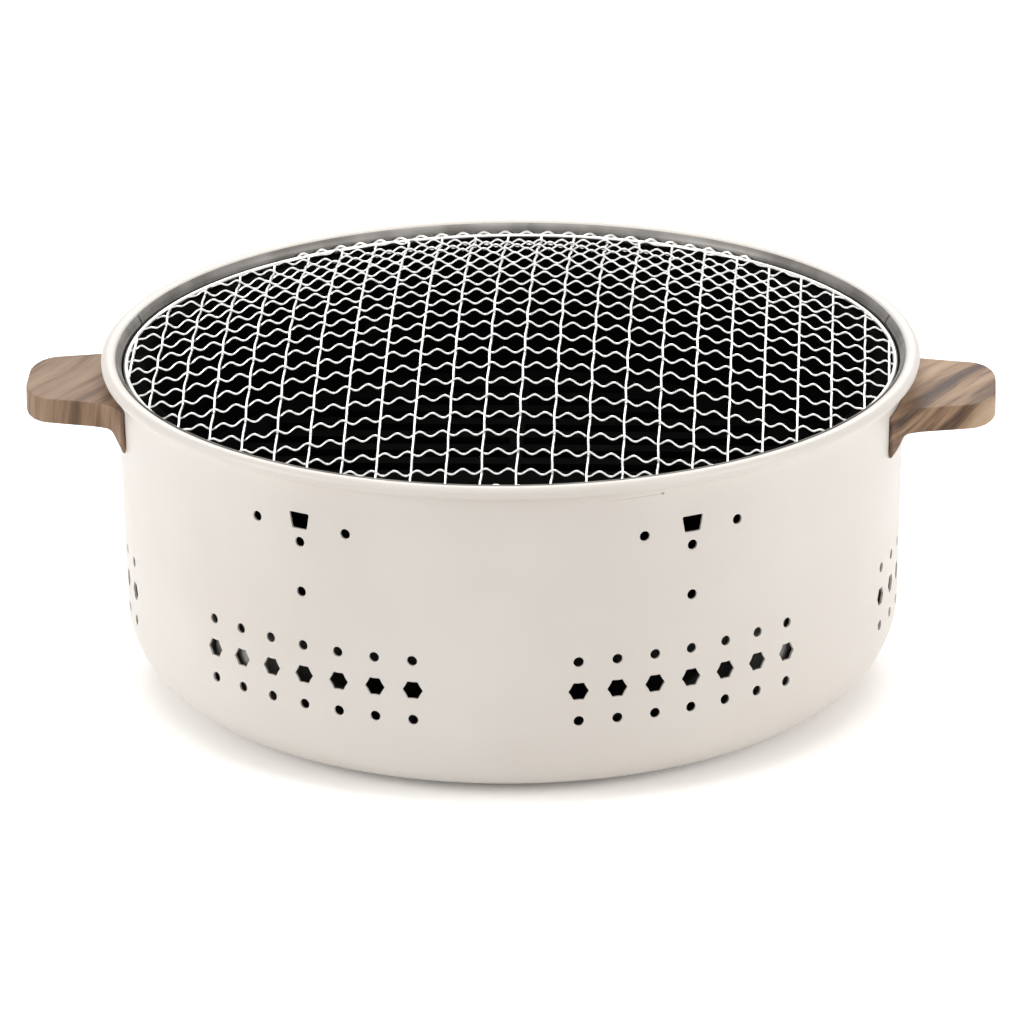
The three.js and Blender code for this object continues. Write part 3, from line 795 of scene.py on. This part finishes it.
def crimped_net():
    """Wires both ways on a dome: rows wave over and under the columns, and all end hooked over the ring."""
    recipe = Recipe("crimped_net")
    half = recipe.size("Wires each side")
    ring = recipe.size("Ring radius")
    ring_height = recipe.size("Ring height")
    outermost = recipe.size("Outermost wire")
    perch = recipe.size("Wire over ring")
    crown = recipe.size("Crown height")
    dome = recipe.size("Dome radius")
    wire = recipe.size("Wire radius")
    swing = recipe.size("Crimp swing")
    wave = recipe.size("Crimp length")
    wave_start = recipe.size("Crimp phase")
    section = recipe.circle(wire, 6)
    index = recipe.index()
    line = recipe.node(
        "GeometryNodeCurvePrimitiveLine", inputs={"Start": (-1.0, 0.0, 0.0), "End": (1.0, 0.0, 0.0)}
    )
    ways = {
        way: {name: recipe.size(way + " " + name) for name in ("pitch", "phase", "dome", "turn", "steps", "limit")}
        for way in ("Row", "Column")
    }

    def bed(radius):
        """Height of a wire's middle: the dome, then level, then down into the ring."""
        domed = (dome * dome - radius * radius).math("SQRT") - dome + crown
        level = ring_height + perch * recipe.within(ring - radius, 0.0, 0.006)
        return domed.math("SMOOTH_MAX", level, 0.0008)

    def crimp(arc_length, row):
        return ((arc_length / wave + wave_start) * math.tau + row * math.pi).math("COSINE")

    def run(way):
        """The wires of one way."""
        size = ways[way]
        offset = ((index - half + size["phase"]) * size["pitch"] / size["dome"]).math("SINE") * size["dome"]
        count = half * 2 + 1
        points = recipe.node("GeometryNodePoints", inputs={"Count": count, "Position": recipe.vector(y=offset)})
        inside = recipe.node(
            "GeometryNodeSeparateGeometry",
            {"domain": "POINT"},
            {"Geometry": points, "Selection": recipe.place()[1].math("ABSOLUTE").math("LESS_THAN", size["limit"])},
        )
        drawn = recipe.node("GeometryNodeResampleCurve", {"mode": "COUNT"}, {"Curve": line, "Count": size["steps"]})
        laid = recipe.real(
            recipe.node("GeometryNodeInstanceOnPoints", inputs={"Points": inside, "Instance": drawn})
        )
        share, aside, _ = recipe.place()
        aside = aside.math("MINIMUM", outermost).math("MAXIMUM", -outermost)
        length = (ring * ring - aside * aside).math("SQRT")
        along = share * length
        radius = (along * along + aside * aside).math("SQRT")
        arc_length = (along / dome).math("ARCSINE") * dome
        number = (aside / size["dome"]).math("ARCSINE") * size["dome"] / size["pitch"] - size["phase"]
        fade = recipe.within(ring - radius, 0.0012, 0.0065)
        if way == "Row":
            height = bed(radius) + crimp(arc_length, number.math("ROUND")) * swing * fade
            to = recipe.vector(along, aside, height)
        else:
            # A column gives way a little where a row crosses it.
            row = arc_length / ways["Row"]["pitch"] - ways["Row"]["phase"]
            over = crimp((aside / dome).math("ARCSINE") * dome, 0.0) * (row * math.pi).math("COSINE") * fade
            # The last column on each side is bent up and down between the rows' ends.
            last = aside.math("ABSOLUTE").math("GREATER_THAN", outermost - 0.0001)
            bent = (along / wave * EDGE_WIRE_WAVES * math.tau).math("SINE") * swing * EDGE_WIRE_SWING * last
            height = bed(radius) - over * (COLUMN_DIP * MM) + bent
            to = recipe.vector(aside + over * (COLUMN_SWAY * MM), along, height)
        placed = recipe.node("GeometryNodeSetPosition", inputs={"Geometry": laid, "Position": to})
        facing = recipe.node("FunctionNodeEulerToRotation", inputs={"Euler": recipe.vector(z=size["turn"])})
        wires = recipe.tube(placed, section)
        return recipe.node("GeometryNodeTransform", inputs={"Geometry": wires, "Rotation": facing})

    # The outermost row at the back is bent along the ring.
    spread = recipe.size("Bent row spread")
    steps = recipe.size("Bent row steps")
    bent = recipe.node("GeometryNodeResampleCurve", {"mode": "COUNT"}, {"Curve": line, "Count": steps})
    turn = recipe.place()[0] * spread
    rise = (turn * ring / wave * math.tau).math("COSINE") * 0.5 + 0.5
    behind = ring + wire
    height = ring_height + rise * swing * BENT_ROW_RISE
    place = recipe.vector(turn.math("SINE") * behind, turn.math("COSINE") * behind, height)
    bent = recipe.node("GeometryNodeSetPosition", inputs={"Geometry": bent, "Position": place})
    return recipe.end(run("Row"), run("Column"), recipe.tube(bent, section))


def make_net():
    net = grow(
        crimped_net(),
        "net_wires",
        NET_STEEL,
        Wires_each_side=12.0,
        Ring_radius=NET_RING_RADIUS * MM,
        Ring_height=NET_RING_HEIGHT * MM,
        Outermost_wire=EDGE_WIRE_RADIUS * MM,
        Wire_over_ring=(NET_RING_WIRE + NET_WIRE) / 2 * MM,
        Crown_height=NET_CROWN * MM,
        Dome_radius=NET_DOME_RADIUS * MM,
        Wire_radius=NET_WIRE / 2 * MM,
        Crimp_swing=CRIMP_SWING * MM,
        Crimp_length=CRIMP_LENGTH * MM,
        Crimp_phase=CRIMP_PHASE,
        Row_pitch=ROW_PITCH * MM,
        Row_phase=ROW_PHASE,
        Row_dome=NET_DOME_RADIUS * MM,
        Row_turn=radians(ROW_TURN),
        Row_steps=400.0,
        Row_limit=165 * MM,
        Column_pitch=COLUMN_PITCH * MM,
        Column_phase=COLUMN_PHASE,
        Column_dome=COLUMN_DOME_RADIUS * MM,
        Column_turn=radians(COLUMN_TURN),
        Column_steps=180.0,
        Column_limit=170 * MM,
        Bent_row_spread=radians(38),
        Bent_row_steps=260.0,
    )
    settle(net, "net", "net_wire", "net_mesh")
    outline = arc(NET_RING_RADIUS, NET_RING_HEIGHT, NET_RING_WIRE / 2, 0, 337.5, 15)
    settle(piece("net_hoop", turned_mesh("net_hoop", outline, 240), NET_STEEL), "net", "net_wire", "net_ring")


make_net()

# ---------------------------------------------------------------- ember pan and grate


def punched_pan():
    """Round air holes at even steps through an upright wall."""
    recipe = Recipe("punched_pan")
    count = recipe.size("Count")
    depth = recipe.size("Punch depth")
    path = recipe.node(
        "GeometryNodeCurvePrimitiveLine",
        inputs={"Start": recipe.vector(y=depth / 2), "End": recipe.vector(y=depth / -2)},
    )
    punch = recipe.tube(path, recipe.circle(recipe.size("Hole radius"), 32))
    turn = recipe.index() * math.tau / count
    tools = recipe.around(count, turn, recipe.size("Wall radius"), recipe.size("Hole height"), punch)
    return recipe.end(recipe.cut(recipe.base, recipe.real(tools)))


def make_pan():
    under = PAN_FLANGE_TOP - PAN_SHEET
    base = PAN_BASE_RADIUS - PAN_ROUND
    bend = PAN_MOUTH_BEVEL
    round_centre = PAN_FLOOR + PAN_ROUND
    outline = [
        (0, PAN_FLOOR),
        (base * 0.5, PAN_FLOOR),
        *arc(base, round_centre, PAN_ROUND, -90, 0, 12),
        *arc(PAN_MOUTH_RADIUS + bend, under - bend, bend, 180, 90, 6),
        *arc(PAN_FLANGE_RADIUS - PAN_SHEET / 2, under + PAN_SHEET / 2, PAN_SHEET / 2, -90, 90, 8),
        *arc(PAN_MOUTH_RADIUS + bend, under - bend, bend + PAN_SHEET, 90, 180, 8),
        *arc(base, round_centre, PAN_ROUND - PAN_SHEET, 0, -90, 12),
        (base * 0.5, PAN_FLOOR + PAN_SHEET),
        (0, PAN_FLOOR + PAN_SHEET),
    ]
    pan = grow(
        punched_pan(),
        "ember_pan",
        BLACK_ENAMEL,
        turned_mesh("ember_pan", outline, 180),
        Count=float(PAN_AIR_HOLES),
        Punch_depth=PAN_AIR_HOLE["punch depth"] * MM,
        Hole_radius=PAN_AIR_HOLE["radius"] * MM,
        Wall_radius=PAN_BASE_RADIUS * MM,
        Hole_height=PAN_AIR_HOLE["height"] * MM,
    )
    settle(pan, "pan", "black_enamel", "charcoal_pan")
    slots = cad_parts["charcoal_grate"].material_slots
    for one in slots:
        one.material = CAST_IRON


make_pan()

# ---------------------------------------------------------------- brackets, feet and heat shield


def ring_of_copies():
    """Copies of a piece, turned to their places round the Z axis."""
    recipe = Recipe("ring_of_copies")
    turn = recipe.size("First turn") + recipe.index() * recipe.size("Step")
    return recipe.end(recipe.around(recipe.size("Count"), turn, 0.0, 0.0, recipe.base))


RING_OF_COPIES = ring_of_copies()


def placed_round(name, mesh, material, count, first, slot, *nodes):
    """Even copies of a mesh that was made at the front, as one piece in the place of CAD nodes."""
    made = grow(
        RING_OF_COPIES,
        name,
        material,
        mesh,
        First_turn=radians(first),
        Step=math.tau / count,
        Count=float(count),
    )
    return settle(made, "shell", slot, *nodes)


def numbered(name, count):
    return [name + "_" + str(i + 1) for i in range(count)]


def carried(mesh, matrix):
    mesh.transform(matrix)
    return mesh


def forward(radius):
    """From the middle to a radius at the front."""
    return Matrix.Translation((0, -radius * MM, 0))


def bevelled(mesh, width):
    """A mesh with its sharp edges rounded."""
    made = piece(mesh.name, mesh, PLATED_STEEL)
    rounded = applied(
        made, "BEVEL", width=width * MM, segments=2, limit_method="ANGLE", angle_limit=radians(40)
    ).data
    bpy.data.objects.remove(made)
    return rounded


def make_brackets():
    """Straps bent to the inside of the shell, from the pan's flange to the floor."""
    top = PAN_FLANGE_TOP - PAN_SHEET - GAP
    floor = SHELL_FLOOR + SHEET + GAP
    round_height = SHELL_FLOOR + BOTTOM_ROUND
    round_centre = wall_radius(round_height) - BOTTOM_ROUND
    outer = BOTTOM_ROUND - SHEET - BRACKET_PLAY
    upright = round_centre + outer + BRACKET_LEAN
    outline = [
        (BRACKET_TAB_END, floor),
        (round_centre - BRACKET_HEEL, floor),
        *arc(round_centre, round_height, outer, -60, 0, 10),
        (upright, top),
        (upright - BRACKET_TOP_TAB, top),
        (upright - BRACKET_TOP_TAB, top - BRACKET_SHEET),
        (upright - BRACKET_SHEET, top - BRACKET_SHEET),
        *arc(round_centre, round_height, outer - BRACKET_SHEET, 0, -60, 10),
        (round_centre - BRACKET_HEEL, floor + BRACKET_SHEET),
        (BRACKET_TAB_END, floor + BRACKET_SHEET),
    ]
    strap = prism_mesh("bracket", outline, -BRACKET_WIDTH / 2, BRACKET_WIDTH / 2)
    strap = carried(strap, Matrix(((0, 0, -1, 0), (-1, 0, 0, 0), (0, 1, 0, 0), (0, 0, 0, 1))))
    strap = bevelled(strap, 0.3)
    nodes = numbered("pan_bracket", BRACKETS)
    placed_round("pan_brackets", strap, PLATED_STEEL, BRACKETS, BRACKET_TURN, "plated_steel", *nodes)


def make_feet():
    """Silicone pads, each with a barbed stem that holds it in the floor."""
    barb = SHELL_FLOOR + SHEET + BRACKET_SHEET + 3 * GAP
    pad = SHELL_FLOOR - GAP
    outline = [
        (0, 0),
        *arc(FOOT["radius"] - 0.7, 0.7, 0.7, -90, 0, 4),
        *arc(FOOT["radius"] - 0.3, pad - 0.3, 0.3, 0, 90, 3),
        (FOOT["stem"], pad),
        (FOOT["stem"], barb),
        (FOOT["barb"], barb),
        (FOOT["barb"] - 0.2, barb + 0.6),
        *arc(FOOT["stem"] - 0.8, FOOT["top"] - 0.8, 0.8, 0, 90, 4),
        (0, FOOT["top"]),
    ]
    foot = carried(turned_mesh("foot", outline, 48), forward(FOOT["circle"]))
    placed_round("feet", foot, SILICONE, BRACKETS, BRACKET_TURN, "silicone", *numbered("foot", BRACKETS))


def make_heat_shield():
    """A disc with a pressed stiffening ring, riveted to the floor over three spacers."""
    low, thick, radius = SHIELD["height"], SHIELD["thickness"], SHIELD["radius"]
    edge = thick / 2
    press = [(radius - 18, low), (radius - 17, low - 0.5), (radius - 13, low - 0.5), (radius - 12, low)]
    outline = [
        (0, low),
        *press,
        *arc(radius - edge, low + edge, edge, -90, 90, 6),
        *[(r, z + thick) for r, z in reversed(press)],
        (0, low + thick),
    ]
    disc = piece("heat_baffle", turned_mesh("heat_baffle", outline, 144), PLATED_STEEL)
    settle(disc, "shell", "plated_steel", "heat_shield")
    fixing = SHIELD_FIXINGS
    count = fixing["count"]
    bottom, top = SHELL_FLOOR + SHEET + GAP, low - GAP
    bore = fixing["rivet"] + GAP
    spacer = [(bore, bottom), (fixing["spacer"], bottom), (fixing["spacer"], top), (bore, top)]
    tube = bevelled(carried(turned_mesh("spacer", spacer, 40), forward(fixing["circle"])), 0.3)
    placed_round("spacers", tube, PLATED_STEEL, count, 0, "plated_steel", *numbered("shield_spacer", count))
    under, over = SHELL_FLOOR - GAP, low + thick + GAP
    head, height = fixing["head"], fixing["head height"]
    lower = [(head * math.sin(a), under - height * math.cos(a)) for a in [radians(15 * i) for i in range(7)]]
    upper = [(head * math.cos(a), over + height * math.sin(a)) for a in [radians(15 * i) for i in range(7)]]
    upper[-1] = (0, over + height)
    rivet = carried(
        turned_mesh("rivet", [*lower, (fixing["rivet"], under), (fixing["rivet"], over), *upper], 32),
        forward(fixing["circle"]),
    )
    placed_round("rivets", rivet, PLATED_STEEL, count, 0, "plated_steel", *numbered("shield_rivet", count))


make_brackets()
make_feet()
make_heat_shield()

# ---------------------------------------------------------------- handles


def handle_plan():
    """The right handle from above: the flange along the wall, a hollow fillet, the slab's side and its corner."""
    turn, tip = radians(HANDLE_FLANGE["turn"]), HANDLE_FLANGE["tip"]
    root, at, slope, fillet_end = HANDLE_SIDE.values()

    def half_width(x):
        return root - slope * (x - at)

    end = SHELL_RADIUS + GAP + tip
    wing = Vector((end * math.cos(turn), end * math.sin(turn)))
    run = (wing.y - half_width(wing.x)) / (math.cos(turn) - slope * math.sin(turn))
    bend = Vector((wing.x + run * math.sin(turn), wing.y - run * math.cos(turn)))
    last = Vector((fillet_end, half_width(fillet_end)))
    fillet = []
    for i in range(13):
        t = i / 12
        at_t = (1 - t) ** 2 * wing + 2 * t * (1 - t) * bend + t * t * last
        fillet.append((at_t.x, at_t.y))
    long, wide = HANDLE_CORNER["outwards"], HANDLE_CORNER["sideways"]
    tip_x = HANDLE_REACH - long
    start = math.atan2(wide, slope * long)
    middle = half_width(tip_x + long * math.cos(start)) - wide * math.sin(start)
    corner = [
        (tip_x + long * math.cos(a), middle + wide * math.sin(a))
        for a in [start * (20 - i) / 20 for i in range(21)]
    ]
    side = [(150, wing.y), *fillet, *corner]
    return [(x, -y) for x, y in side] + list(reversed(side))


def handle_profile():
    """The right handle from the side: the flange thins out below the slab, close to the wall."""
    thick, tip, fillet = HANDLE_FLANGE["thickness"], HANDLE_FLANGE["tip"], HANDLE_FLANGE["fillet"]
    under = HANDLE_UNDER

    def clear(height):
        return wall_radius(height) + GAP

    past = HANDLE_REACH + HANDLE_CORNER["outwards"]
    return [
        (clear(HANDLE_TIP), HANDLE_TIP),
        (clear(HANDLE_TIP) + tip, HANDLE_TIP),
        *arc(clear(under) + thick + fillet, under - fillet, fillet, 165, 90, 8),
        (past, under),
        (past, HANDLE_TOP),
        (clear(HANDLE_TOP), HANDLE_TOP),
    ]


def make_handles():
    """Wooden slabs, shaped and then sanded round along every edge."""
    slab = piece("handle_slab", prism_mesh("handle_slab", handle_plan(), HANDLE_TIP - 1, HANDLE_TOP + 1), WALNUT)
    form = piece("handle_form", turned_mesh("handle_form", handle_profile(), 120, 60, 60), WALNUT)
    applied(slab, "BOOLEAN", operation="INTERSECT", solver="EXACT", object=form)
    bpy.data.objects.remove(form)
    applied(slab, "REMESH", mode="VOXEL", voxel_size=0.5 * MM)
    applied(slab, "SMOOTH", factor=0.5, iterations=7)
    half_turn = Matrix.Rotation(math.pi, 4, "Z")
    for side, matrix in (("right", Matrix.Identity(4)), ("left", half_turn)):
        mesh = carried(slab.data.copy(), matrix)
        settle(piece("wood_grip_" + side, mesh, WALNUT), "shell", "walnut", "handle_" + side)
    bpy.data.objects.remove(slab)


def make_handle_fixings():
    """A plate inside the wall behind each handle, and the screws that go through both into the wood."""
    middle = RIM_TOP - HANDLE_SCREW["depth"]
    low = middle - HANDLE_PLATE["height"] / 2
    high = low + HANDLE_PLATE["height"]
    outer = wall_inside(low) - GAP
    inner = outer - HANDLE_PLATE["sheet"]
    turn = HANDLE_PLATE["turn"]
    plate = turned_mesh("plate", [(inner, low), (outer, low), (outer, high), (inner, high)], 24, -turn, 2 * turn)
    nodes = ["handle_plate_right", "handle_plate_left"]
    placed_round("back_plates", bevelled(plate, 0.35), PLATED_STEEL, 2, SIDE_TURN, "plated_steel", *nodes)
    under_head = inner * math.cos(radians(3)) - GAP
    head, height = HANDLE_SCREW["head"], HANDLE_SCREW["head height"]
    dome = [(head * math.sin(a), under_head - height * math.cos(a)) for a in [radians(15 * i) for i in range(7)]]
    shank, end = HANDLE_SCREW["shank"], HANDLE_SCREW["end"]
    outline = [*dome, (shank, under_head), (shank, end - HANDLE_SCREW["tip"]), (0, end)]
    for number, offset in ((1, -HANDLE_SCREW["turn"]), (2, HANDLE_SCREW["turn"])):
        screw = turned_mesh("screw", outline, 32)
        screw = carried(screw, Matrix(((1, 0, 0, 0), (0, 0, -1, 0), (0, 1, 0, middle * MM), (0, 0, 0, 1))))
        nodes = [f"handle_screw_{side}_{number}" for side in ("right", "left")]
        name = "screws_" + str(number)
        placed_round(name, screw, PLATED_STEEL, 2, SIDE_TURN + offset, "plated_steel", *nodes)


make_handles()
make_handle_fixings()

# ---------------------------------------------------------------- floor, light and camera


def make_floor():
    bm = bmesh.new()
    bmesh.ops.create_grid(bm, x_segments=1, y_segments=1, size=30)
    mesh = bpy.data.meshes.new("floor")
    bm.to_mesh(mesh)
    bm.free()
    piece("floor", mesh, floor_paper())


def area_light(name, place, aim, size, power):
    lamp = bpy.data.lights.new(name, "AREA")
    lamp.shape = "DISK"
    lamp.size = size
    lamp.energy = power
    made = bpy.data.objects.new(name, lamp)
    made.location = place
    made.rotation_mode = "QUATERNION"
    made.rotation_quaternion = (Vector(aim) - Vector(place)).to_track_quat("-Z", "Y")
    bpy.context.scene.collection.objects.link(made)
    return made


def make_light():
    world = bpy.data.worlds.new("soft_room")
    world.use_nodes = True
    bpy.context.scene.world = world
    room = Graph(world.node_tree)
    path = room.node("ShaderNodeLightPath")
    seen = path.output("Is Camera Ray").math("MAXIMUM", path.output("Is Glossy Ray"))
    seen = seen.math("MAXIMUM", path.output("Is Transmission Ray"))
    sky = world.node_tree.nodes["Background"]
    room.feed(sky.inputs["Color"], (1.0, 1.0, 1.0, 1.0))
    room.feed(sky.inputs["Strength"], seen * (1 - ROOM_GLOW) + ROOM_GLOW)
    middle = (0, 0, 0.1)
    area_light("soft_top", (0, -0.2, 2.4), middle, 2.4, 27)
    area_light("soft_left", (-2.4, -1.2, 0.9), middle, 1.6, 31)
    area_light("soft_right", (2.4, -1.2, 0.9), middle, 1.6, 30)
    area_light("soft_back", (0, 2.2, 1.8), middle, 1.8, 28)


def make_camera():
    """The photograph's view: its height over the floor, its turn, its slight lean and its long lens."""
    turn, height, lean = 2.64, 20.37, 0.527
    distance, aim_height, lens = 4250, 74.4, 341.5
    back = Vector(
        (
            math.sin(radians(turn)) * math.cos(radians(height)),
            -math.cos(radians(turn)) * math.cos(radians(height)),
            math.sin(radians(height)),
        )
    )
    data = bpy.data.cameras.new("camera")
    data.lens = lens
    data.sensor_width = 36
    made = bpy.data.objects.new("camera", data)
    made.location = Vector((0, 0, aim_height * MM)) + back * distance * MM
    made.rotation_mode = "QUATERNION"
    made.rotation_quaternion = (-back).to_track_quat("-Z", "Y") @ Quaternion((0, 0, 1), radians(-lean))
    bpy.context.scene.collection.objects.link(made)
    bpy.context.scene.camera = made


make_floor()
make_light()
make_camera()
bpy.context.scene.view_settings.view_transform = "Standard"
